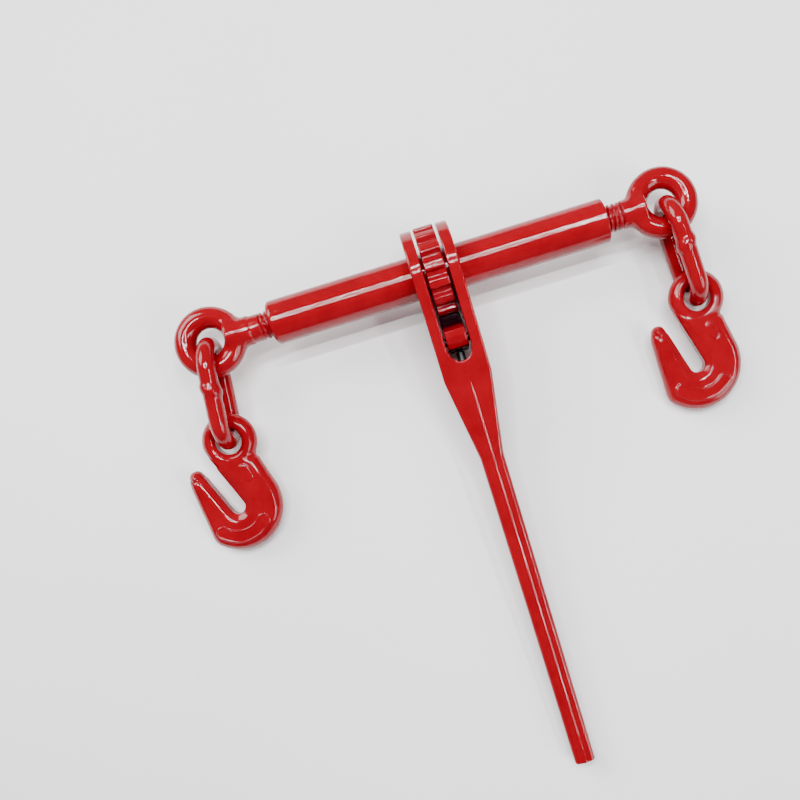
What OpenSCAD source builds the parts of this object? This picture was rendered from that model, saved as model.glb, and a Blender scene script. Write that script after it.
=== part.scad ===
// Ratchet load binder. A barrel with a left-hand and a right-hand nut draws two eye screws
// together; a ratchet handle turns the barrel; each screw carries a link and a grab hook.
// It lies as on a bench: barrel along X, handle towards -Y, hooks and handle end on the ground.

/* [Barrel] */
// Length of the barrel tube
barrel_len = 250; // [240:1:260]
// Outer diameter of the barrel tube
barrel_d = 31.75; // [31:0.25:33]
// Inner diameter of the barrel tube
barrel_id = 24.4; // [24:0.1:25]
// Height of the barrel axis above the ground
axis_h = 34; // [34:0.1:36]
// Length of each threaded end nut
nut_len = 22; // [18:1:26]

/* [Screws] */
// Major diameter of the thread
thread_d = 19.8; // [19:0.1:20]
// Root diameter of the thread
thread_root_d = 16.6; // [16:0.1:17]
// Pitch of the thread
thread_pitch = 3.5; // [3:0.25:4]
// Distance from the left eye's centre to the barrel's left end
left_reach = 46; // [44:1:60]
// Distance from the right eye's centre to the barrel's right end
right_reach = 42.6; // [42:0.2:60]
// Radius of the hole through each eye
eye_hole_r = 10.2; // [10:0.1:11]
// Outer radius of each eye
eye_r = 26; // [25:0.5:27]

/* [Gear and handle] */
// Number of ratchet teeth
gear_teeth = 16; // [16:16:16]
// Radius over the ratchet teeth
gear_r = 33.8; // [33:0.1:33.8]
// Radius at the bottom of the ratchet teeth
gear_root_r = 29.6; // [29:0.1:30]
// Width of the ratchet gear
gear_w = 14.5; // [13:0.5:15]
// Distance from the barrel axis to the handle's end
handle_len = 374; // [340:1:380]
// Width over the two ears
head_w = 34.5; // [33:0.5:36]
// Outer radius of the ears
ear_r = 33; // [31:0.5:33]
// Width of the slot between the ears
slot_w = 18; // [17.5:0.25:18.5]
// Place of the head along the barrel
handle_x = -1.5; // [-5:0.5:5]

/* [Pawl] */
// Distance from the barrel axis to the pawl pin
pawl_dist = 50; // [50:0.1:50.5]
// Diameter of the pawl pin
pawl_pin_d = 6; // [5:0.5:6]
// Width of the pawl
pawl_w = 15.2; // [14:0.2:16]

/* [Links] */
// Diameter of the link's wire
wire_d = 13; // [12:0.1:13.2]
// Half of the gap between the link's two bars
link_half_gap = 11; // [10.9:0.1:11.5]
// Distance between the wire centres at the link's two ends
link_pitch = 70; // [68:1:74]

/* [Hooks] */
// Outer radius of the hook's eye
hook_eye_r = 20.4; // [19.5:0.1:21]
// Radius of the hole through the hook's eye
hook_hole_r = 9.8; // [9.6:0.1:10.2]
// Distance from the hook's eye to the bottom of its throat
throat_dist = 48.3; // [47:0.5:50]
// Half of the throat's width
throat_r = 5.75; // [5.5:0.05:6]
// Outer radius of the hook's bowl
bowl_r = 33; // [32:0.5:34]
// Thickness of the hook's body
hook_t = 16; // [15:0.5:17]

/* [Hidden] */
$fn = 64;

paint = "firebrick";
steel = "silver";

// The box of the whole binder is centred on the origin by this shift.
origin_shift = [15, 168, 0];

// Running clearance of turning fits, and the gap between faces that only pass.
fit_gap = 0.05;
face_gap = 0.15;

// Handle slope that lays its end on the ground.
handle_end_half_d = 7.5;
handle_tilt = asin((axis_h - handle_end_half_d) / (handle_len - 1));

// Screw ends: both threads stop this far from the middle of the barrel at rest.
thread_inner_x = 26;
washer_t = 3;
journal_r = 5;
journal_len = 8.5;
stop_pin_r = 1.5;
stop_pin_x = face_gap + washer_t + face_gap + stop_pin_r;
left_eye_x = -barrel_len / 2 - left_reach;
right_eye_x = barrel_len / 2 + right_reach;
ring_section_r = (eye_r - eye_hole_r) / 2;
ring_mid_r = (eye_r + eye_hole_r) / 2;
neck_r = 10.2;

// Links: direction in plan, slope towards the hook, and where the wire lies in the eye.
left_link_dir = -97.9;
right_link_dir = -85.2;
link_slope = 12.7;
wire_r = wire_d / 2;
bend_r = link_half_gap + wire_r;
wire_in_eye = 2.4;
wire_aside = 1.4;
link_rise_at_eye = 1.6;

// Hooks: direction in plan and slope that lays the bowl on the ground.
left_hook_turn = -10.9;
right_hook_turn = -15.2;
hook_slope = 8.1;
hook_drop_in_link = 0.8;
hook_eye_t = 14;

// Detent: a sprung plunger that presses the heel of the pawl.
slot_end_r = 8.4;
slot_end = 58.8;
heel_d = 8.5;
plunger_nose_r = 3;
plunger_r = 3.95;
plunger_nose = pawl_dist + heel_d + 0.35;
plunger_shoulder = 68;
plunger_back = 78;
detent_bore_end = 100;
spring_r = 3.1;
spring_wire_r = 0.45;
spring_turns = 7;

// Teeth of the gear: half angles of the tooth at its tip and at its root.
tooth_tip_half = 4.75;
tooth_root_half = 7.65;
drive_pin_r = 2.5;
drive_pin_angle = 168.75;

module at_barrel() {
    translate(origin_shift + [0, 0, axis_h]) children();
}

// Frame of the handle: origin on the barrel axis, the handle runs towards -Y.
module at_handle() {
    at_barrel() translate([handle_x, 0, 0]) rotate([handle_tilt, 0, 0]) children();
}

// Extrudes a side view, drawn as distance along the handle and height, to a width along X.
module side_plate(width) {
    rotate([0, 0, -90]) rotate([90, 0, 0])
        linear_extrude(height = width, center = true) children();
}

// A cylinder along X with its middle at the origin.
module bar_x(r, h) {
    rotate([0, 90, 0]) cylinder(r = r, h = h, center = true);
}

// ---- Barrel ----

module barrel() {
    r = barrel_d / 2;
    half = barrel_len / 2;
    lip = 3.5;
    chamfer = 1.2;
    lip_arc = [for (a = [0:22.5:90]) [r - lip + lip * sin(a), half - lip + lip * cos(a)]];
    color(paint) at_barrel() difference() {
        rotate([0, -90, 0]) rotate_extrude()
            polygon(concat([[barrel_id / 2, -half], [r - chamfer, -half], [r, -half + chamfer]],
                           [for (i = [4:-1:0]) lip_arc[i]], [[barrel_id / 2, half]]));
        translate([handle_x, 0, 0]) rotate([handle_tilt, 0, 0]) drive_pin_pair(8, r + 2);
    }
}

// An end nut in the barrel's end; side is -1 for the left-hand one and 1 for the right-hand one.
module end_nut(side) {
    color(steel) at_barrel() translate([side * (barrel_len / 2 - 1 - nut_len / 2), 0, 0])
        difference() {
            bar_x(barrel_id / 2, nut_len);
            bar_x(thread_d / 2 + 0.3, nut_len + 2);
        }
}

// ---- Ratchet gear ----

function on_circle(r, a) = [r * cos(a), r * sin(a)];

module gear_outline() {
    step = 360 / gear_teeth;
    polygon([for (i = [0:gear_teeth - 1])
        for (p = [[gear_root_r, -tooth_root_half], [gear_r, -tooth_tip_half],
                  [gear_r, tooth_tip_half], [gear_root_r, tooth_root_half]])
            on_circle(p[0], i * step + p[1])]);
}

// Two opposite radial pins, each from radius r0 to radius r1.
module drive_pin_pair(r0, r1) {
    for (turn = [0, 180])
        rotate([-drive_pin_angle - turn, 0, 0]) rotate([90, 0, 0])
            translate([0, 0, r0]) cylinder(r = drive_pin_r, h = r1 - r0, $fn = 32);
}

module ratchet_gear() {
    color(paint) at_handle() difference() {
        side_plate(gear_w) gear_outline();
        bar_x(barrel_d / 2, gear_w + 2);
        drive_pin_pair(barrel_d / 2 - 1, gear_r + 2);
    }
}

module gear_drive_pins() {
    color(steel) at_handle() drive_pin_pair(barrel_id / 2 + 0.6, gear_root_r - 0.8);
}

// ---- Handle ----

neck_at = 137.5;
neck_half_d = 11;
neck_half_w = 8.6;
taper_at = 78.6;
grip_end_half_w = 7.55;

// Side view: a round head that tapers to the neck and on to the end.
module handle_side() {
    lean = acos((ear_r - neck_half_d) / neck_at);
    neck_u = neck_at + neck_half_d * cos(lean);
    neck_v = neck_half_d * sin(lean);
    bevel = 2;
    facets = 72;
    head_arc = [for (i = [0:facets]) on_circle(ear_r, lean + i * (360 - 2 * lean) / facets)];
    polygon(concat(head_arc, [
        [neck_u, -neck_v],
        [handle_len - bevel, -handle_end_half_d], [handle_len, bevel - handle_end_half_d],
        [handle_len, handle_end_half_d - bevel], [handle_len - bevel, handle_end_half_d],
        [neck_u, neck_v]]));
}

// Plan view: straight head, a taper, and a grip that narrows slightly.
module handle_plan() {
    half = head_w / 2;
    bevel = 2;
    polygon([[-half, ear_r + 1], [half, ear_r + 1], [half, -taper_at], [neck_half_w, -neck_at],
             [grip_end_half_w, bevel - handle_len], [grip_end_half_w - bevel, -handle_len],
             [bevel - grip_end_half_w, -handle_len], [-grip_end_half_w, bevel - handle_len],
             [-neck_half_w, -neck_at], [-half, -taper_at]]);
}

module handle() {
    color(paint) at_handle() difference() {
        intersection() {
            side_plate(head_w) handle_side();
            linear_extrude(height = 2 * ear_r + 2, center = true) handle_plan();
        }
        // Slot between the ears, with its round end
        translate([-slot_w / 2, -slot_end, -ear_r - 2])
            cube([slot_w, slot_end + ear_r + 3, 2 * ear_r + 4]);
        translate([0, -slot_end, -ear_r - 2])
            cylinder(r = slot_end_r, h = 2 * ear_r + 4);
        // Bores for the barrel, the pawl pin and the detent
        bar_x(barrel_d / 2 + fit_gap, head_w + 2);
        translate([0, -pawl_dist, 0]) bar_x(pawl_pin_d / 2, head_w + 2);
        translate([0, -slot_end, 0]) rotate([90, 0, 0])
            cylinder(r = plunger_r + fit_gap, h = detent_bore_end - slot_end);
    }
}

module pawl_pin() {
    color(steel) at_handle() translate([0, -pawl_dist, 0]) bar_x(pawl_pin_d / 2, head_w);
}

// ---- Pawl ----

// Upper half of the pawl's side view, from the middle of its front, over the tooth and the
// thumb tab, to the flats of its heel. First value: towards the gear; second: up.
heel_flat = 11.4;
heel_corner = heel_d * tan(heel_flat / 2);
heel_top = 5.5;
heel_top_back = -(heel_d - heel_top * sin(heel_flat)) / cos(heel_flat);
pawl_half = [[12.5, 0], [13.2, 6], [17, 9.1], [17.2, 10.8], [11, 12.8], [6.5, 17.5],
             [5.2, 24], [4.4, 25], [0, 24.6], [-4, 22.8], [-7, 19.5], [-8.2, 14],
             [-8.2, 9], [heel_top_back, heel_top], [-heel_d, heel_corner]];

module pawl() {
    lower = [for (i = [len(pawl_half) - 1:-1:1]) [pawl_half[i][0], -pawl_half[i][1]]];
    color(paint) at_handle() translate([0, -pawl_dist, 0]) difference() {
        side_plate(pawl_w) mirror([1, 0]) polygon(concat(pawl_half, lower));
        bar_x(pawl_pin_d / 2 + fit_gap, pawl_w + 2);
    }
}

// ---- Detent ----

module detent_plunger() {
    nose_chamfer = 0.6;
    color(steel) at_handle() rotate([90, 0, 0]) {
        translate([0, 0, plunger_nose])
            cylinder(r1 = plunger_nose_r - nose_chamfer, r2 = plunger_nose_r, h = nose_chamfer);
        translate([0, 0, plunger_nose + nose_chamfer])
            cylinder(r = plunger_nose_r, h = plunger_shoulder - plunger_nose);
        translate([0, 0, plunger_shoulder])
            cylinder(r = plunger_r, h = plunger_back - plunger_shoulder);
    }
}

// Coil of round wire between the plunger and the bottom of its bore, as a swept tube.
module detent_spring() {
    per_turn = 12;
    sides = 6;
    rings = spring_turns * per_turn;
    z0 = plunger_back + spring_wire_r + 0.05;
    rise = detent_bore_end - plunger_back - 2 * spring_wire_r - 0.1;
    points = [for (i = [0:rings]) for (k = [0:sides - 1])
        let (a = i * 360 / per_turn, b = k * 360 / sides, r = spring_r + spring_wire_r * cos(b))
            [r * cos(a), r * sin(a), z0 + rise * i / rings + spring_wire_r * sin(b)]];
    walls = [for (i = [0:rings - 1]) for (k = [0:sides - 1])
        let (n = (k + 1) % sides, p = i * sides, q = p + sides)
            each [[p + k, p + n, q + n], [p + k, q + n, q + k]]];
    ends = [[for (k = [sides - 1:-1:0]) k], [for (k = [0:sides - 1]) rings * sides + k]];
    color(steel) at_handle() rotate([90, 0, 0]) polyhedron(points, concat(walls, ends));
}

// ---- Eye screws ----

// Frame of an eye: origin at its centre, +X towards the barrel.
module at_eye(side) {
    at_barrel() {
        if (side < 0) translate([left_eye_x, 0, 0]) children();
        if (side > 0) translate([right_eye_x, 0, 0]) rotate([0, 0, 180]) children();
    }
}

// Place of the thread's inner end, measured from the eye's centre.
function thread_end(side) =
    (side < 0 ? left_reach : right_reach) + barrel_len / 2 - thread_inner_x;

// A screw thread drawn as a row of ridges from x0 to x1.
module thread(x0, x1) {
    root = thread_root_d / 2;
    major = thread_d / 2;
    turns = floor((x1 - x0) / thread_pitch);
    first = x1 - turns * thread_pitch;
    ridges = [for (i = [0:turns - 1]) let (z = first + i * thread_pitch)
        each [[root, z], [major, z + 0.25 * thread_pitch], [major, z + 0.55 * thread_pitch],
              [root, z + 0.8 * thread_pitch]]];
    rotate([0, 90, 0]) rotate_extrude()
        polygon(concat([[0, x0], [root, x0]], ridges, [[root, x1], [0, x1]]));
}

module eye_screw(side) {
    end = thread_end(side);
    collar_from = side < 0 ? 31 : 26.5;
    neck_to = side < 0 ? 39 : 30;
    hole_clear_x = 15;
    color(paint) at_eye(side) difference() {
        union() {
            rotate_extrude($fn = 96) translate([ring_mid_r, 0]) circle(r = ring_section_r);
            translate([hole_clear_x, 0, 0]) rotate([0, 90, 0])
                cylinder(r1 = 12, r2 = neck_r, h = collar_from - hole_clear_x);
            translate([collar_from - 0.5, 0, 0]) rotate([0, 90, 0])
                cylinder(r = side < 0 ? 9.5 : neck_r - 0.2, h = neck_to - collar_from + 1);
            thread(neck_to - 1, end);
            translate([end - 1, 0, 0]) rotate([0, 90, 0])
                cylinder(r = journal_r, h = journal_len + 1);
        }
        translate([end + stop_pin_x, 0, 0])
            cylinder(r = stop_pin_r, h = 4 * journal_r, center = true, $fn = 32);
    }
}

module stop_washer(side) {
    color(steel) at_eye(side)
        translate([thread_end(side) + face_gap + washer_t / 2, 0, 0]) difference() {
            bar_x(barrel_id / 2 - 0.3, washer_t);
            bar_x(journal_r + fit_gap, washer_t + 2);
        }
}

module stop_pin(side) {
    color(steel) at_eye(side) translate([thread_end(side) + stop_pin_x, 0, 0])
        cylinder(r = stop_pin_r, h = 16, center = true, $fn = 32);
}

// ---- Links ----

// Frame of a link: origin at the wire centre in the eye, +X along the link to the hook.
module at_link(side) {
    dir = side < 0 ? left_link_dir : right_link_dir;
    at_barrel() translate([side < 0 ? left_eye_x : right_eye_x, 0, link_rise_at_eye])
        rotate([0, 0, dir]) translate([wire_in_eye, side * wire_aside, 0])
            rotate([0, link_slope, 0]) children();
}

module link(side) {
    bar_len = link_pitch - 2 * bend_r;
    weld_at = link_pitch * 0.43;
    color(paint) at_link(side) {
        for (up = [-1, 1])
            translate([link_pitch / 2, 0, up * bend_r]) bar_x(wire_r, bar_len);
        for (end = [0, 1])
            translate([end == 0 ? bend_r : link_pitch - bend_r, 0, 0])
                rotate([90, end == 0 ? -90 : 90, 0])
                    rotate_extrude(angle = 180, $fn = 96) translate([bend_r, 0]) circle(r = wire_r);
        translate([weld_at, 0, bend_r]) bar_x(wire_r + 1, 4);
    }
}

// ---- Hooks ----

// Frame of a hook: origin at its eye's centre, the bowl towards -Y, +Z out of its upper face.
module at_hook(side) {
    at_link(side) translate([link_pitch, 0, 0])
        rotate([0, -link_slope, 0]) translate([0, 0, -hook_drop_in_link])
            rotate([0, 0, side < 0 ? -left_link_dir : -right_link_dir])
                rotate([0, 0, side < 0 ? left_hook_turn : right_hook_turn])
                    rotate([hook_slope, 0, 0]) children();
}

slot_lean = 32;
horn_tip = [-27.4, -25.1];
horn_tip_r = 5.6;

// Outline of the hook's body, drawn in by an inset for the bevelled faces.
module hook_outline(inset) {
    translate([0, -throat_dist]) circle(r = bowl_r - inset, $fn = 96);
    translate(horn_tip) circle(r = horn_tip_r - inset);
    // Horn
    polygon([[-32.9 + inset, -24], [-32.2 + inset, -52], [-10, -70], [0, -throat_dist],
             [-22.7, -22]]);
    // Shank
    polygon([[31.5 - inset, -38], [19.7 - inset, -13.3], [8, -6], [-16.5, -15.5],
             [2, -45.3], [0, -60], [20, -60]]);
}

module hook(side) {
    bevel = 2.5;
    edge_t = 9;
    hole_flare_from = 4.3;
    flare = 6;
    cut = hook_t + 4;
    color(paint) at_hook(side) difference() {
        union() {
            linear_extrude(height = edge_t, center = true) hook_outline(0);
            linear_extrude(height = hook_t, center = true) hook_outline(bevel);
            cylinder(r = hook_eye_r - 2, h = hook_eye_t, center = true);
            cylinder(r = hook_eye_r, h = hook_eye_t - 6, center = true);
            hook_marks();
        }
        cylinder(r = hook_hole_r, h = cut, center = true);
        for (face = [0, 180]) rotate([face, 0, 0]) translate([0, 0, hole_flare_from])
            cylinder(r1 = hook_hole_r, r2 = hook_hole_r + flare, h = flare);
        translate([0, -throat_dist, 0]) {
            cylinder(r = throat_r, h = cut, center = true);
            rotate([0, 0, slot_lean]) translate([-throat_r, 0, -cut / 2])
                cube([2 * throat_r, 60, cut]);
        }
    }
}

// Raised pads on the hook's upper face: an oval boss and a blank arc where a size would go.
module hook_marks() {
    pad_h = 0.8;
    pad_mid_r = 22;
    pad_half_w = 5;
    translate([0, 0, hook_t / 2 - 1]) {
        translate([10.5, -24, 0]) rotate([0, 0, 25]) {
            translate([-3.4, -4, 0]) cube([6.8, 8, 1 + pad_h]);
            for (v = [-4, 4]) translate([0, v, 0]) cylinder(r = 3.5, h = 1 + pad_h, $fn = 32);
        }
        translate([0, -throat_dist, 0]) rotate([0, 0, -125]) {
            rotate_extrude(angle = 95) translate([pad_mid_r - pad_half_w, 0])
                square([2 * pad_half_w, 1 + pad_h]);
            for (a = [0, 95]) rotate([0, 0, a]) translate([pad_mid_r, 0, 0])
                cylinder(r = pad_half_w - 0.1, h = 1 + pad_h, $fn = 32);
        }
    }
}

barrel();
end_nut(-1);  // left_end_nut
end_nut(1);  // right_end_nut
ratchet_gear();
gear_drive_pins();
handle();
pawl_pin();
pawl();
detent_plunger();
detent_spring();
stop_washer(-1);  // left_stop_washer
stop_washer(1);  // right_stop_washer
eye_screw(-1);  // left_eye_screw
eye_screw(1);  // right_eye_screw
stop_pin(-1);  // left_stop_pin
stop_pin(1);  // right_stop_pin
link(-1);  // left_link
link(1);  // right_link
hook(-1);  // left_hook
hook(1);  // right_hook
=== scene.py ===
"""Looks for the ratchet load binder: forged, red-enamelled pieces built over the CAD frame."""
import math
import bpy
import numpy as np
from mathutils import Euler, Matrix, Vector


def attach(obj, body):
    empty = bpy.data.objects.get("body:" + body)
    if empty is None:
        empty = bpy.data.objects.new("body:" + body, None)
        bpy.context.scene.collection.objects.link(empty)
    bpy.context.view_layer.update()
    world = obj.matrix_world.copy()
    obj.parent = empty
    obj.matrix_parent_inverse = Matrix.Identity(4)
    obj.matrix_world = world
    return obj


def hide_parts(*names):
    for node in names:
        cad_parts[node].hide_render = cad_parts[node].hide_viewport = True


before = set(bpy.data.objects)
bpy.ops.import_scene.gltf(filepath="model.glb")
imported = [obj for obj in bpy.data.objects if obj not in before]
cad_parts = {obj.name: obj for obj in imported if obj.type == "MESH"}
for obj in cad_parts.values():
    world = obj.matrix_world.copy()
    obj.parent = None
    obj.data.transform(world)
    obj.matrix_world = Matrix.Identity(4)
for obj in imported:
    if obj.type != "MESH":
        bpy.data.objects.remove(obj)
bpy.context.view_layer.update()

MM = 0.001


# ---------------------------------------------------------------- frames (millimetres)

def turn(axis, degrees):
    return Matrix.Rotation(math.radians(degrees), 4, axis)


def move(x, y, z):
    return Matrix.Translation((x, y, z))


# The barrel lies along X, and the handle falls from it to the ground towards -Y.
BARREL = move(15, 168, 34)
HANDLE_FALL, HANDLE_REACH = 26.5, 373
HANDLE = BARREL @ move(-1.5, 0, 0) @ turn("X", math.degrees(math.asin(HANDLE_FALL / HANDLE_REACH)))
SIDE = {"left": -1, "right": 1}
EYE_X = {"left": -171, "right": 167.6}
EYE = {"left": BARREL @ move(EYE_X["left"], 0, 0),
       "right": BARREL @ move(EYE_X["right"], 0, 0) @ turn("Z", 180)}
# Headings in plan, in degrees, of each link from its eye and of each hook
LINK_TURN = {"left": -97.9, "right": -85.2}
HOOK_TURN = {"left": -10.9, "right": -15.2}
LINK_SLOPE, HOOK_SLOPE = 12.7, 8.1
LINK_PITCH, LINK_RISE, LINK_IN_EYE, LINK_ASIDE = 70.0, 1.6, 2.4, 1.4
HOOK_DROP = 0.8


def link_frame(side):
    """From the eye, the link runs along +X on edge."""
    return (BARREL @ move(EYE_X[side], 0, LINK_RISE) @ turn("Z", LINK_TURN[side])
            @ move(LINK_IN_EYE, LINK_ASIDE * SIDE[side], 0) @ turn("Y", LINK_SLOPE))


def hook_frame(side):
    """From the hook's own ring, the bowl lies towards -Y and the marked face looks up +Z."""
    return (link_frame(side) @ move(LINK_PITCH, 0, 0) @ turn("Y", -LINK_SLOPE)
            @ move(0, 0, -HOOK_DROP)
            @ turn("Z", HOOK_TURN[side] - LINK_TURN[side]) @ turn("X", HOOK_SLOPE))


# ---------------------------------------------------------------- distance functions

def smin(a, b, k):
    """Union of two distances, blended over a width k."""
    h = np.clip(0.5 + 0.5 * (b - a) / k, 0, 1)
    return b * (1 - h) + a * h - k * h * (1 - h)


def smax(a, b, k):
    """Intersection of two distances, blended over a width k."""
    return -smin(-a, -b, k)


def step(t):
    """Eases from 0 to 1 as t goes from 0 to 1."""
    t = np.clip(t, 0, 1)
    return t * t * (3 - 2 * t)


def capsule2(x, y, a, b, r):
    """Distance to the segment from a to b in the plane, less r."""
    ux, uy = b[0] - a[0], b[1] - a[1]
    t = np.clip(((x - a[0]) * ux + (y - a[1]) * uy) / (ux * ux + uy * uy), 0, 1)
    return np.hypot(x - a[0] - t * ux, y - a[1] - t * uy) - r


def polygon2(x, y, points):
    """Signed distance to a closed polygon in the plane, negative inside."""
    best = None
    inside = None
    n = len(points)
    for i in range(n):
        ax, ay = points[i]
        bx, by = points[(i + 1) % n]
        ux, uy = bx - ax, by - ay
        t = np.clip(((x - ax) * ux + (y - ay) * uy) / (ux * ux + uy * uy), 0, 1)
        d = (x - ax - t * ux) ** 2 + (y - ay - t * uy) ** 2
        best = d if best is None else np.minimum(best, d)
        if ay != by:
            hit = ((ay > y) != (by > y)) & (x < (bx - ax) * (y - ay) / (by - ay) + ax)
            inside = hit if inside is None else inside ^ hit
    return np.where(inside, -1.0, 1.0) * np.sqrt(best)


def ripple(x, y, z, size, seed):
    """Gentle unevenness between -1 and 1, about size millimetres across."""
    rng = np.random.default_rng(seed)
    total = 0
    for _ in range(5):
        direction = rng.normal(size=3)
        direction /= np.linalg.norm(direction)
        w = 2 * math.pi / (size * rng.uniform(0.7, 1.5))
        total = total + np.sin(w * (x * direction[0] + y * direction[1] + z * direction[2])
                               + rng.uniform(0, 6.28))
    return total / 5


# ---------------------------------------------------------------- meshing

CORNERS = [(i, j, k) for i in (0, 1) for j in (0, 1) for k in (0, 1)]
EDGES = [(a, b) for a in range(8) for b in range(a + 1, 8)
         if sum(abs(p - q) for p, q in zip(CORNERS[a], CORNERS[b])) == 1]


def surface(f, lo, hi, h, rounds=0):
    """Closed quad mesh of the surface f = 0 in the box lo to hi, with cells of h millimetres."""
    ax = [np.arange(lo[i] - 1.5 * h, hi[i] + 1.6 * h, h) for i in range(3)]
    shape = tuple(len(a) for a in ax)
    field = np.broadcast_to(f(ax[0][:, None, None], ax[1][None, :, None], ax[2][None, None, :]),
                            shape).astype(np.float32)
    inside = field < 0
    cells = tuple(n - 1 for n in shape)
    count = np.zeros(cells, np.int8)
    for i, j, k in CORNERS:
        count += inside[i:i + cells[0], j:j + cells[1], k:k + cells[2]]
    active = np.argwhere((count > 0) & (count < 8))
    values = np.stack([field[active[:, 0] + i, active[:, 1] + j, active[:, 2] + k]
                       for i, j, k in CORNERS], 1).astype(float)
    total = np.zeros((len(active), 3))
    crossings = np.zeros(len(active))
    for a, b in EDGES:
        va, vb = values[:, a], values[:, b]
        cut = (va < 0) != (vb < 0)
        t = np.where(cut, va / np.where(cut, va - vb, 1), 0)[:, None]
        pa, pb = np.array(CORNERS[a], float), np.array(CORNERS[b], float)
        total += np.where(cut[:, None], pa + t * (pb - pa), 0)
        crossings += cut
    origin = np.array([a[0] for a in ax])
    points = origin + (active + total / crossings[:, None]) * h
    cell_id = np.full(cells, -1, np.int64)
    cell_id[tuple(active.T)] = np.arange(len(active))
    quads = []
    for axis in range(3):
        u, v = (axis + 1) % 3, (axis + 2) % 3
        sl0 = [slice(None)] * 3
        sl1 = [slice(None)] * 3
        sl0[axis], sl1[axis] = slice(0, -1), slice(1, None)
        s0, s1 = inside[tuple(sl0)], inside[tuple(sl1)]
        for sign, where in ((1, s0 & ~s1), (-1, ~s0 & s1)):
            at = np.argwhere(where)
            at = at[(at[:, u] > 0) & (at[:, v] > 0) & (at[:, u] < cells[u]) & (at[:, v] < cells[v])]
            ring = []
            for du, dv in ((-1, -1), (0, -1), (0, 0), (-1, 0)):
                q = at.copy()
                q[:, u] += du
                q[:, v] += dv
                ring.append(cell_id[tuple(q.T)])
            ring = np.stack(ring, 1)
            quads.append(ring if sign > 0 else ring[:, ::-1])
    quads = np.concatenate(quads)
    quads = quads[(quads >= 0).all(1)]
    for _ in range(2):
        points = settle(f, points, h)
    if rounds:
        points = relax(points, quads, rounds)
    return points, quads


def settle(f, p, h):
    """Moves the points onto the surface along its slope."""
    e = 0.25 * h
    x, y, z = p.T
    value = f(x, y, z)
    grad = np.stack([f(x + e, y, z) - f(x - e, y, z), f(x, y + e, z) - f(x, y - e, z),
                     f(x, y, z + e) - f(x, y, z - e)], 1) / (2 * e)
    size = np.maximum((grad ** 2).sum(1), 0.05)
    shift = -(value / size)[:, None] * grad
    length = np.linalg.norm(shift, axis=1, keepdims=True)
    return p + shift * np.minimum(1, 0.6 * h / np.maximum(length, 1e-9))


def relax(p, quads, rounds):
    """Averages each point with its neighbours, which rounds every edge a little."""
    a = quads.ravel()
    b = np.roll(quads, 1, axis=1).ravel()
    ends = np.concatenate([a, b])
    others = np.concatenate([b, a])
    number = np.bincount(ends, minlength=len(p))[:, None]
    for _ in range(rounds):
        total = np.stack([np.bincount(ends, p[others, i], minlength=len(p)) for i in range(3)], 1)
        p = 0.5 * p + 0.5 * total / np.maximum(number, 1)
    return p


def piece(name, points, faces, matrix, body, node, material):
    """Makes the mesh object, in the row frame, that stands for a CAD node."""
    m = np.array(matrix)
    world = (points @ m[:3, :3].T + m[:3, 3]) * MM
    mesh = bpy.data.meshes.new(name)
    mesh.vertices.add(len(world))
    mesh.vertices.foreach_set("co", world.astype(np.float32).ravel())
    n = faces.shape[1]
    mesh.loops.add(faces.size)
    mesh.loops.foreach_set("vertex_index", faces.astype(np.int32).ravel())
    mesh.polygons.add(len(faces))
    mesh.polygons.foreach_set("loop_start", np.arange(0, faces.size, n, dtype=np.int32))
    mesh.update(calc_edges=True)
    mesh.validate()
    mesh.shade_smooth()
    mesh.materials.append(material)
    o = bpy.data.objects.new(name, mesh)
    bpy.context.scene.collection.objects.link(o)
    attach(o, body)
    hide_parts(node)
    return o


def revolve(profile, segments):
    """Closed ring mesh of a profile of (x, r) points, turned about the X axis."""
    prof = np.array(profile, float)
    n = len(prof)
    a = np.arange(segments) * 2 * math.pi / segments
    pts = np.stack([np.repeat(prof[:, 0][:, None], segments, 1), prof[:, 1][:, None] * np.cos(a),
                    prof[:, 1][:, None] * np.sin(a)], 2).reshape(-1, 3)
    i, j = np.meshgrid(np.arange(n), np.arange(segments), indexing="ij")
    i2, j2 = (i + 1) % n, (j + 1) % segments
    faces = np.stack([i * segments + j, i2 * segments + j, i2 * segments + j2,
                      i * segments + j2], 2).reshape(-1, 4)
    return pts, faces


# ---------------------------------------------------------------- materials

# Distance, in metres, over which the painted shade's colour ramp runs
PAINTED_SHADE_SPAN = 0.05


def nodes_of(name):
    m = bpy.data.materials.new(name)
    m.use_nodes = True
    tree = m.node_tree
    return m, tree, tree.nodes["Principled BSDF"]


def noise(tree, coords, scale, detail=3.0, rough=0.5):
    n = tree.nodes.new("ShaderNodeTexNoise")
    n.inputs["Scale"].default_value = scale
    n.inputs["Detail"].default_value = detail
    n.inputs["Roughness"].default_value = rough
    tree.links.new(coords, n.inputs["Vector"])
    return n.outputs["Fac"]


def ramp(tree, value, stops):
    r = tree.nodes.new("ShaderNodeValToRGB")
    while len(r.color_ramp.elements) < len(stops):
        r.color_ramp.elements.new(0.5)
    for e, (at, colour) in zip(r.color_ramp.elements, stops):
        e.position = at
        e.color = (*colour, 1)
    tree.links.new(value, r.inputs["Fac"])
    return r.outputs["Color"]


def spread(tree, value, low, high):
    """Stretches a noise value, which stays near 0.5, over low to high."""
    r = tree.nodes.new("ShaderNodeMapRange")
    r.inputs["From Min"].default_value = 0.3
    r.inputs["From Max"].default_value = 0.7
    r.inputs["To Min"].default_value = low
    r.inputs["To Max"].default_value = high
    tree.links.new(value, r.inputs["Value"])
    return r.outputs["Result"]


def bump(tree, height, distance, strength, normal=None):
    b = tree.nodes.new("ShaderNodeBump")
    b.inputs["Distance"].default_value = distance
    b.inputs["Strength"].default_value = strength
    tree.links.new(height, b.inputs["Height"])
    if normal is not None:
        tree.links.new(normal, b.inputs["Normal"])
    return b.outputs["Normal"]


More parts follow.
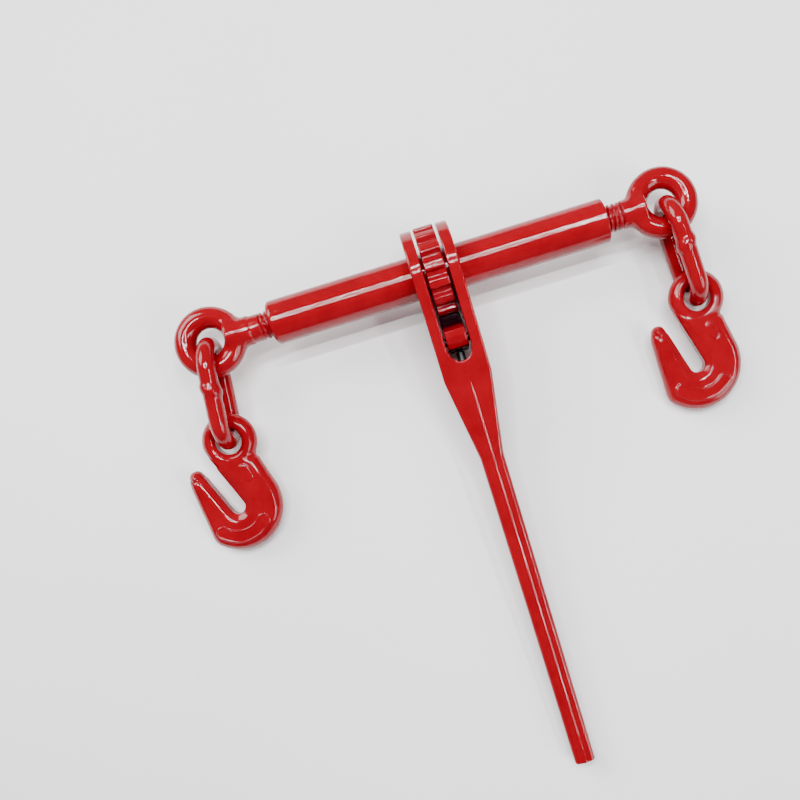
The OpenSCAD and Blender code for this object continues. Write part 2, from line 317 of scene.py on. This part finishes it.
def painted_slot_shade(tree, coords, colour, height):
    """Painted shade: darkens the colour up to 15 mm above and below a height in metres, deep in the
    slot where shade falls.
    """
    split = tree.nodes.new("ShaderNodeSeparateXYZ")
    tree.links.new(coords, split.inputs[0])
    lift = tree.nodes.new("ShaderNodeMath")
    lift.operation = "MULTIPLY_ADD"
    lift.inputs[1].default_value = 1 / PAINTED_SHADE_SPAN
    lift.inputs[2].default_value = -height / PAINTED_SHADE_SPAN
    tree.links.new(split.outputs["Z"], lift.inputs[0])
    away = tree.nodes.new("ShaderNodeMath")
    away.operation = "ABSOLUTE"
    tree.links.new(lift.outputs[0], away.inputs[0])
    shade = ramp(tree, away.outputs[0], [(0.30, (0.03, 0.6, 0.4)), (0.37, (1, 1, 1))])
    darkened = tree.nodes.new("ShaderNodeMix")
    darkened.data_type = "RGBA"
    darkened.blend_type = "MULTIPLY"
    darkened.inputs[0].default_value = 1
    tree.links.new(colour, darkened.inputs[6])
    tree.links.new(shade, darkened.inputs[7])
    return darkened.outputs[2]


def enamel(name="red_enamel", painted_shade_at=None):
    """Thick red enamel over forged steel: orange peel, slow sags and faint cloudiness."""
    m, tree, bsdf = nodes_of(name)
    coords = tree.nodes.new("ShaderNodeTexCoord").outputs["Object"]
    cloud = noise(tree, coords, 55, 4, 0.55)
    colour = ramp(tree, cloud, [(0.25, (0.185, 0.0007, 0.0045)), (0.5, (0.22, 0.0009, 0.0055)),
                                (0.8, (0.25, 0.0014, 0.0070))])
    # Painted shade: the middle of the pawl, down in the slot, is darkened
    if painted_shade_at is not None:
        colour = painted_slot_shade(tree, coords, colour, painted_shade_at)
    tree.links.new(colour, bsdf.inputs["Base Color"])
    tree.links.new(spread(tree, noise(tree, coords, 180, 3), 0.05, 0.09), bsdf.inputs["Roughness"])
    peel = bump(tree, noise(tree, coords, 620, 1.5), 0.0003, 0.22)
    sag = bump(tree, noise(tree, coords, 140, 1), 0.0010, 0.10, peel)
    tree.links.new(sag, bsdf.inputs["Normal"])
    bsdf.inputs["Metallic"].default_value = 0
    bsdf.inputs["IOR"].default_value = 1.42
    return m


def steel(name, dark, light, roughness, grain):
    """Worked steel: streaks along one direction, uneven polish and a few darker stains."""
    m, tree, bsdf = nodes_of(name)
    coords = tree.nodes.new("ShaderNodeTexCoord").outputs["Object"]
    stretch = tree.nodes.new("ShaderNodeMapping")
    stretch.inputs["Scale"].default_value = grain
    tree.links.new(coords, stretch.inputs["Vector"])
    streaks = noise(tree, stretch.outputs["Vector"], 900, 2)
    stains = noise(tree, coords, 220, 4, 0.6)
    mix = tree.nodes.new("ShaderNodeMath")
    mix.operation = "MULTIPLY_ADD"
    mix.inputs[1].default_value = 0.6
    tree.links.new(streaks, mix.inputs[0])
    tree.links.new(stains, mix.inputs[2])
    tree.links.new(ramp(tree, mix.outputs[0], [(0.55, dark), (1.0, light)]),
                   bsdf.inputs["Base Color"])
    tree.links.new(spread(tree, stains, roughness - 0.07, roughness + 0.12),
                   bsdf.inputs["Roughness"])
    tree.links.new(bump(tree, streaks, 0.0001, 0.25), bsdf.inputs["Normal"])
    bsdf.inputs["Metallic"].default_value = 1
    return m


RED = enamel()
# The pawl, with painted shade darkening it at the height of its pin, down in the handle's slot
SHADED_ENAMEL = enamel("enamel_painted_shade", 0.0304)
STEEL = steel("turned_steel", (0.30, 0.30, 0.31), (0.62, 0.62, 0.63), 0.34, (0.15, 1, 1))
PIN = steel("oiled_steel", (0.025, 0.025, 0.027), (0.07, 0.07, 0.075), 0.42, (0.2, 1, 1))
WIRE = steel("spring_wire", (0.16, 0.16, 0.17), (0.40, 0.40, 0.42), 0.30, (1, 0.2, 1))


# ---------------------------------------------------------------- barrel

def build_barrel():
    """A tube, slightly wavy outside, rounded over at its left end and chamfered at its right."""
    r, half, bore = 15.875, 125.0, 12.2
    lip_r, edge_r, mouth = 3.4, 1.2, 0.8
    xs = np.linspace(half - edge_r, -half + lip_r + 0.2, 125)
    rng = np.random.default_rng(4)
    wave = np.convolve(rng.normal(size=len(xs) + 8), np.ones(9) / 9, "valid") * 0.05
    body = [(x, r - 0.03 + min(0.03, max(-0.12, w))) for x, w in zip(xs, wave)]
    lip = [(-half + lip_r - lip_r * math.sin(a), r - lip_r + lip_r * math.cos(a))
           for a in np.linspace(0, math.pi / 2, 12)]
    inner = [(-half, bore + mouth), (-half + mouth, bore), (half - mouth, bore),
             (half, bore + mouth)]
    edge = [(half - edge_r + edge_r * math.sin(a), r - edge_r + edge_r * math.cos(a))
            for a in np.linspace(math.pi / 2, 0.15, 6)]
    pts, faces = revolve(body + lip + inner + edge, 144)
    return piece("barrel_tube", pts, faces, BARREL, "barrel", "barrel", RED)


# ---------------------------------------------------------------- ratchet gear

TEETH = 16
GEAR_ROOT_R, GEAR_TIP_R, GEAR_BORE_R, GEAR_HALF_W = 29.6, 33.8, 15.9, 7.25
ROOT_HALF_ANGLE, TIP_HALF_ANGLE = math.radians(7.65), math.radians(4.75)


def gear_distance(x, y, z):
    """In the handle's frame: flat-topped teeth round the barrel."""
    r = np.hypot(y, z)
    pitch = 2 * math.pi / TEETH
    fold = np.abs((np.arctan2(z, y) + pitch / 2) % pitch - pitch / 2)
    px, py = r * np.cos(fold), r * np.sin(fold)
    # One flank, from a on the root circle to b on the tip circle
    ax, ay = GEAR_ROOT_R * math.cos(ROOT_HALF_ANGLE), GEAR_ROOT_R * math.sin(ROOT_HALF_ANGLE)
    bx, by = GEAR_TIP_R * math.cos(TIP_HALF_ANGLE), GEAR_TIP_R * math.sin(TIP_HALF_ANGLE)
    length = math.hypot(bx - ax, by - ay)
    nx, ny = -(by - ay) / length, (bx - ax) / length
    flank = (px - ax) * nx + (py - ay) * ny
    teeth = smin(r - GEAR_ROOT_R, smax(flank, r - GEAR_TIP_R + 0.05, 0.7), 0.8)
    side = np.abs(x) - GEAR_HALF_W + 0.04 * ripple(x, y, z, 18, 5)
    return np.maximum(smax(teeth, side, 0.9), GEAR_BORE_R - r)


def build_gear():
    pts, quads = surface(gear_distance, (-7.4, -34, -34), (7.4, 34, 34), 0.5, 2)
    return piece("gear_forging", pts, quads, HANDLE, "barrel", "ratchet_gear", RED)


# ---------------------------------------------------------------- handle

HEAD_R, HANDLE_LEN, NECK_AT, NECK_R, END_R = 33.0, 374.0, 137.5, 11.0, 7.5
# Half widths in plan: head, neck and grip end; and where the head starts to taper
HEAD_W, NECK_W, END_W, TAPER_AT, END_CUT = 17.25, 8.6, 7.55, 78.6, 2
SLOT_W, SLOT_END, SLOT_END_R, PAWL_AT = 9.0, 58.8, 8.4, 50
# Lean of the line that touches both the head's circle and the neck's
LEAN = math.acos((HEAD_R - NECK_R) / NECK_AT)


def handle_distance(x, y, z):
    """In the handle's frame: two ears, a slot, a taper and a ridged grip along -Y."""
    u = -y
    neck_u, neck_z = NECK_AT + NECK_R * math.cos(LEAN), NECK_R * math.sin(LEAN)
    head_u, head_z = HEAD_R * math.cos(LEAN), HEAD_R * math.sin(LEAN)
    cut_u = HANDLE_LEN - END_CUT
    outline = [(head_u, head_z), (neck_u, neck_z), (cut_u, END_R),
               (HANDLE_LEN, END_R - END_CUT), (HANDLE_LEN, END_CUT - END_R), (cut_u, -END_R),
               (neck_u, -neck_z), (head_u, -head_z), (0, 0)]
    side = np.minimum(polygon2(u, z, outline), np.hypot(u, z) - HEAD_R)
    half_plan = [(HEAD_W, -40), (HEAD_W, TAPER_AT), (NECK_W, NECK_AT), (END_W, cut_u),
                 (END_W - END_CUT, HANDLE_LEN)]
    plan = polygon2(x, u, half_plan + [(-a, b) for a, b in reversed(half_plan)])
    # Past the slot the faces fall away from a parting ridge down the middle
    past = step((u - 66) / 26)
    ridge = 0.42 * np.exp(-(x / 0.75) ** 2)
    side = side + past * (0.085 * np.abs(x) + 0.36 - ridge)
    edge = 1.3 + 1.9 * step((u - 90) / 60)
    body = smax(side, plan, edge) + 0.05 * ripple(x, y, z, 42, 2)
    slot = np.minimum(np.maximum(np.abs(x) - SLOT_W, u - SLOT_END),
                      np.hypot(x, u - SLOT_END) - SLOT_END_R)
    bore = np.hypot(y, z) - 15.93
    pin = np.hypot(u - PAWL_AT, z) - 3.0
    detent = np.maximum(np.hypot(x, z) - 4.0, u - 100)
    body = smax(body, -slot, 0.9)
    return np.maximum(np.maximum(body, -bore), np.maximum(-pin, -detent))


def build_handle():
    pts, quads = surface(handle_distance, (-17.3, -374.1, -33.1), (17.3, 33.1, 33.1), 0.75, 1)
    return piece("handle_forging", pts, quads, HANDLE, "handle", "handle", RED)


# ---------------------------------------------------------------- pawl

# The heel has three flats, 8.5 mm behind the pin and this far apart in angle.
HEEL = math.radians(11.4)
HEEL_AT, HEEL_TOP = 8.5, 5.5
HEEL_BACK = -(HEEL_AT - HEEL_TOP * math.sin(HEEL)) / math.cos(HEEL)
# Upper half of the outline, towards the gear and up
PAWL_HALF = [(12.5, 0), (13.2, 6), (17, 9.1), (17.2, 10.8), (11, 12.8), (6.5, 17.5),
             (5.2, 24), (4.4, 25), (0, 24.6), (-4, 22.8), (-7, 19.5), (-8.2, 14),
             (-8.2, 9), (HEEL_BACK, HEEL_TOP), (-HEEL_AT, HEEL_AT * math.tan(HEEL / 2))]
PAWL = HANDLE @ move(0, -PAWL_AT, 0)


def pawl_distance(x, y, z):
    """In the pawl's frame: one outline, alike above and below, bored for its pin."""
    outline = PAWL_HALF + [(a, -b) for a, b in reversed(PAWL_HALF[1:])]
    flat = polygon2(y, z, outline)
    body = smax(flat, np.abs(x) - 7.6, 1.6)
    return np.maximum(body, 3.05 - np.hypot(y, z))


def build_pawl():
    pts, quads = surface(pawl_distance, (-7.8, -8.6, -25.2), (7.8, 17.4, 25.2), 0.4, 4)
    # The pawl takes the enamel with painted shade at its middle
    return piece("pawl_forging", pts, quads, PAWL, "pawl", "pawl", SHADED_ENAMEL)


# ---------------------------------------------------------------- eye screws

THREAD_PITCH, THREAD_ROOT_R, THREAD_DEPTH, JOURNAL_R, JOURNAL_LEN = 3.5, 8.3, 1.58, 5.0, 8.5
EYE_RING_R, EYE_WIRE_R, SHANK_FROM = 18.1, 7.9, 20
# Where the cone and the neck stop, the neck's radius, and the thread's end, all from the eye
NECKS = {"left": (31.0, 39.0, 9.75, 145), "right": (26.6, 30.0, 10.0, 141.6)}


def screw_distance(side):
    """In the eye's frame: a ring, a neck, and a helical thread of its own hand along +X."""
    left = side == "left"
    hand = SIDE[side]
    cone_to, neck_to, neck_r, end = NECKS[side]

    def f(x, y, z):
        ring = np.hypot(np.hypot(x, y) - EYE_RING_R, z) - EYE_WIRE_R
        ring = ring + 0.06 * ripple(x, y, z, 16, 7)
        r = np.hypot(y, z)
        cone_r = 12.2 - (1.6 if left else 2.2) * step((x - 14) / 13)
        neck = smax(smax(r - cone_r, x - cone_to, 0.9), 13.5 - x, 1.0)
        eye = smin(ring, neck, 3.2)
        collar = smax(smax(r - neck_r, x - neck_to, 0.5), SHANK_FROM - x, 0.5)
        phase = (x / THREAD_PITCH + hand * np.arctan2(z, y) / (2 * math.pi)) % 1.0
        tooth = np.clip(1.9 - 4.4 * np.abs(phase - 0.5), 0, 1)
        fade = step((end - x) / 2.5) * step((x - neck_to + 1.5) / 2.5)
        thread = (r - THREAD_ROOT_R - THREAD_DEPTH * tooth * fade) * 0.75
        thread = np.maximum(np.maximum(thread, x - end), SHANK_FROM - x)
        journal = np.maximum(np.maximum(r - JOURNAL_R, x - end - JOURNAL_LEN), SHANK_FROM - x)
        pin = np.hypot(x - end - 4.8, y) - 1.5
        shank = np.maximum(np.minimum(np.minimum(collar, thread), journal), -pin)
        return smin(eye, shank, 0.6)

    return f, end


def build_screw(side):
    f, end = screw_distance(side)
    pts, quads = surface(f, (-26.1, -26.1, -12.6), (end + 8.6, 26.1, 12.6), 0.55, 1)
    return piece(f"{side}_eye_forging", pts, quads, EYE[side], f"{side}_eye_screw",
                 f"{side}_eye_screw", RED)


# ---------------------------------------------------------------- links

LINK_WIRE_R, LINK_BEND_R = 6.5, 17.5


def link_distance(side):
    """In the link's frame: a stadium of round wire on edge, with its weld on the upper bar."""
    flip = SIDE[side]

    def f(x, y, z):
        straight = np.maximum(np.abs(x - LINK_PITCH / 2) - (LINK_PITCH / 2 - LINK_BEND_R), 0)
        wire = np.hypot(np.hypot(straight, z) - LINK_BEND_R, y) - LINK_WIRE_R
        wire = wire + 0.05 * ripple(x, y, z, 14, 11 + flip)
        # Upset weld, lopsided, with a small pit on the right link and a round mark on the left
        wx, wz = x - 30.1 + 0.3 * flip * y, z - LINK_BEND_R
        weld = np.sqrt((wx / 0.75) ** 2 + y ** 2 + wz ** 2) - 7.5
        body = smin(wire, weld, 2.6)
        if flip > 0:
            return smax(body, 0.9 - np.sqrt(wx ** 2 + (y - 0.8) ** 2 + (wz - 7.7) ** 2), 0.4)
        return smax(body, 0.4 - np.hypot(np.hypot(wx, y + 0.8) - 2.4, wz - 7.6), 0.7)

    return f


def build_link(side):
    pts, quads = surface(link_distance(side), (-6.6, -7.8, -24.2), (76.6, 7.8, 25.4), 0.55, 2)
    return piece(f"{side}_link_forging", pts, quads, link_frame(side), f"{side}_link",
                 f"{side}_link", RED)


# ---------------------------------------------------------------- hooks

THROAT_Y, THROAT_R, BOWL_R, HALF_T = -48.3, 5.75, 33.0, 8.0
HOOK_RING_R, HOOK_HOLE_R = 20.4, 9.8
SLOT_LEAN = math.radians(32)
HORN_TIP, HORN_TIP_R = (-27.4, -25.1), 5.6
# The blank arc pad: its radius about the throat, half width, middle and half angle
PAD_R, PAD_HALF_W, PAD_MIDDLE, PAD_SWEEP = 22, 4.6, math.radians(-77.5), math.radians(46)


def hook_marks(x, y, z):
    """Raised marks on the upper face: an oval boss and a blank rimmed arc."""
    c, s = math.cos(math.radians(25)), math.sin(math.radians(25))
    bx, by = (x - 10.5) * c + (y + 24) * s, -(x - 10.5) * s + (y + 24) * c
    oval = capsule2(bx, by, (0, -3.6), (0, 3.6), 3.0)
    boss = smax(oval, z - HALF_T - 0.55, 0.8)
    angle = np.arctan2(y - THROAT_Y, x)
    swing = (angle - PAD_MIDDLE + math.pi) % (2 * math.pi) - math.pi
    swing = np.clip(swing, -PAD_SWEEP, PAD_SWEEP) + PAD_MIDDLE
    arc = np.hypot(x - PAD_R * np.cos(swing), y - THROAT_Y - PAD_R * np.sin(swing)) - PAD_HALF_W
    pad = smax(arc, z - HALF_T - 0.3, 0.5)
    rim = smax(np.abs(arc + 0.5) - 0.45, z - HALF_T - 0.75, 0.4)
    return np.maximum(np.minimum(np.minimum(boss, pad), rim), 4 - z)


def hook_distance(x, y, z):
    """In the hook's frame: ring, shank, bowl and horn round a bevelled slot."""
    ring = np.hypot(x, y) - HOOK_RING_R
    bowl = np.hypot(x, y - THROAT_Y) - BOWL_R
    horn = polygon2(x, y, [(-33.2, -26), (-36, -38), (-30, -52), (-10, -70), (0, THROAT_Y),
                           (-22.7, -22)])
    tip = np.hypot(x - HORN_TIP[0], y - HORN_TIP[1]) - HORN_TIP_R
    shank = polygon2(x, y, [(31.5, -38), (19.7, -13.3), (8, -6), (-17.2, -11.5),
                            (4.9, -45.3), (0, -60), (20, -60)])
    # Straight outer side of the horn, from its tip to a soft corner on the bowl
    side = (-45 * (x + 34.4) - 13 * (y + 26)) / math.hypot(45, 13)
    outline = smax(np.minimum(np.minimum(bowl, horn), tip), side, 3.0)
    outline = smin(outline, shank, 1.0)
    outline = smin(outline, ring, 3.5)
    # The slot, and how far along it and to which side of it a point lies
    along = -(x * math.sin(SLOT_LEAN)) + (y - THROAT_Y) * math.cos(SLOT_LEAN)
    across = x * math.cos(SLOT_LEAN) + (y - THROAT_Y) * math.sin(SLOT_LEAN)
    slot = np.hypot(across, np.minimum(along, 0)) - THROAT_R
    thick = np.abs(z)
    # Flat faces, thinner towards the eye, and an outer edge with draft
    half_t = HALF_T - step((y + 26) / 18)
    face = smax(thick - half_t, outline, 2.4)
    draft = (outline + 0.85 * (thick - half_t + 5.0)) / 1.31
    body = smax(face, draft, 1.8)
    # A bevel along the slot, widest on the shank beside the throat
    width = 5.2 + 3.6 * step((across - 1) / 7) * step((along + 6) / 10)
    width = width * (1 - 0.8 * step((along - 2) / 42) * step(across / 4))
    slope = 3.0 / width
    bevel = (thick - 5.0 - slope * slot) / np.sqrt(1 + slope ** 2)
    body = smax(body, bevel, 0.9)
    hole = (np.hypot(x, y) - HOOK_HOLE_R - np.maximum(thick - 4.6, 0)) / 1.2
    body = smax(body, -hole, 1.8)
    body = smax(body, -slot, 1.3) + 0.06 * ripple(x, y, z, 22, 3)
    return smin(body, hook_marks(x, y, z), 0.7)


def build_hook(side):
    pts, quads = surface(hook_distance, (-33.3, -81.5, -8.2), (33.2, 20.6, 8.9), 0.5, 1)
    return piece(f"{side}_hook_forging", pts, quads, hook_frame(side), f"{side}_hook",
                 f"{side}_hook", RED)


build_barrel()
build_gear()
build_handle()
build_pawl()
for side in ("left", "right"):
    build_screw(side)
    build_link(side)
    build_hook(side)


# ---------------------------------------------------------------- finishes of the CAD nodes shown

FINISH = {"left_end_nut": (RED, "red_paint"), "right_end_nut": (RED, "red_paint"),
          "gear_drive_pins": (PIN, "pin_steel"), "pawl_pin": (PIN, "pin_steel"),
          "detent_plunger": (PIN, "pin_steel"), "detent_spring": (WIRE, "spring_steel"),
          "left_stop_washer": (STEEL, "bare_steel"), "right_stop_washer": (STEEL, "bare_steel"),
          "left_stop_pin": (PIN, "pin_steel"), "right_stop_pin": (PIN, "pin_steel")}
for name, (material, slot_name) in FINISH.items():
    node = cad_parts[name]
    node.data.materials.clear()
    node.data.materials.append(material)


# ---------------------------------------------------------------- stage, lights and camera

def make_floor():
    mesh = bpy.data.meshes.new("floor")
    mesh.from_pydata([(-4, -4, 0), (4, -4, 0), (4, 4, 0), (-4, 4, 0)], [], [(0, 1, 2, 3)])
    m, tree, bsdf = nodes_of("pale_floor")
    coords = tree.nodes.new("ShaderNodeTexCoord").outputs["Object"]
    tree.links.new(ramp(tree, noise(tree, coords, 3, 2), [(0.3, (0.86, 0.86, 0.87)),
                                                          (0.7, (0.90, 0.90, 0.90))]),
                   bsdf.inputs["Base Color"])
    bsdf.inputs["Roughness"].default_value = 0.7
    bsdf.inputs["IOR"].default_value = 1.2
    mesh.materials.append(m)
    o = bpy.data.objects.new("floor", mesh)
    bpy.context.scene.collection.objects.link(o)


def softbox(name, at, aim, width, height, watts):
    light = bpy.data.lights.new(name, "AREA")
    light.shape = "RECTANGLE"
    light.size, light.size_y = width, height
    light.energy = watts
    o = bpy.data.objects.new(name, light)
    o.location = at
    o.rotation_mode = "QUATERNION"
    o.rotation_quaternion = (Vector(aim) - Vector(at)).to_track_quat("-Z", "Y")
    bpy.context.scene.collection.objects.link(o)
    return o


# Degrees by which the picture is turned against the barrel
ROLL = -17.07


def in_view(right, up, z):
    """A point given by how far right and up it lies in the picture, from the binder's middle."""
    c, s = math.cos(math.radians(ROLL)), math.sin(math.radians(ROLL))
    return (right * c - up * s, right * s + up * c, z)


def make_lights():
    world = bpy.data.worlds.new("studio")
    bpy.context.scene.world = world
    world.use_nodes = True
    tree = world.node_tree
    back = tree.nodes["Background"]
    coords = tree.nodes.new("ShaderNodeTexCoord").outputs["Generated"]
    split = tree.nodes.new("ShaderNodeSeparateXYZ")
    tree.links.new(coords, split.inputs[0])
    # Grey all round, and dark overhead so that flat faces stay clear
    sky = ramp(tree, split.outputs["Z"], [(0.0, (0.38, 0.38, 0.39)), (0.45, (0.42, 0.42, 0.43)),
                                          (0.8, (0.10, 0.09, 0.09))])
    tree.links.new(sky, back.inputs["Color"])
    back.inputs["Strength"].default_value = 0.45
    # A thin bright frame over the barrel, and a strip that draws a line along the handle
    for name, x, y, width, height, watts in (("frame_top", 0.04, 0.462, 0.82, 0.026, 13.0),
                                             ("frame_bottom", 0.04, 0.19, 0.82, 0.022, 9.0),
                                             ("frame_left", -0.36, 0.326, 0.024, 0.25, 3.6),
                                             ("frame_right", 0.37, 0.326, 0.024, 0.25, 3.6),
                                             ("shaft_line", 0.75, -0.50, 0.05, 0.70, 10.0)):
        softbox(name, (x, y, 1.25), (x, y, 0), width, height, watts)
    # Broad light from low at both sides, out of sight of the flat faces
    softbox("key", in_view(-1.9, 1.2, 1.5), (0, 0.05, 0), 1.5, 1.5, 88)
    softbox("fill", in_view(2.0, -1.0, 1.3), (0, 0.05, 0), 1.3, 1.3, 37)


def make_camera():
    data = bpy.data.cameras.new("camera")
    data.sensor_width = 36
    data.lens = 38.83
    data.shift_x, data.shift_y = -0.0865, 0.0906
    data.clip_start, data.clip_end = 0.02, 20
    cam = bpy.data.objects.new("camera", data)
    cam.location = (0.0, 0.0104, 0.650)
    cam.rotation_euler = Euler((math.radians(1.05), math.radians(0.87), math.radians(ROLL)))
    bpy.context.scene.collection.objects.link(cam)
    bpy.context.scene.camera = cam


make_floor()
make_lights()
make_camera()
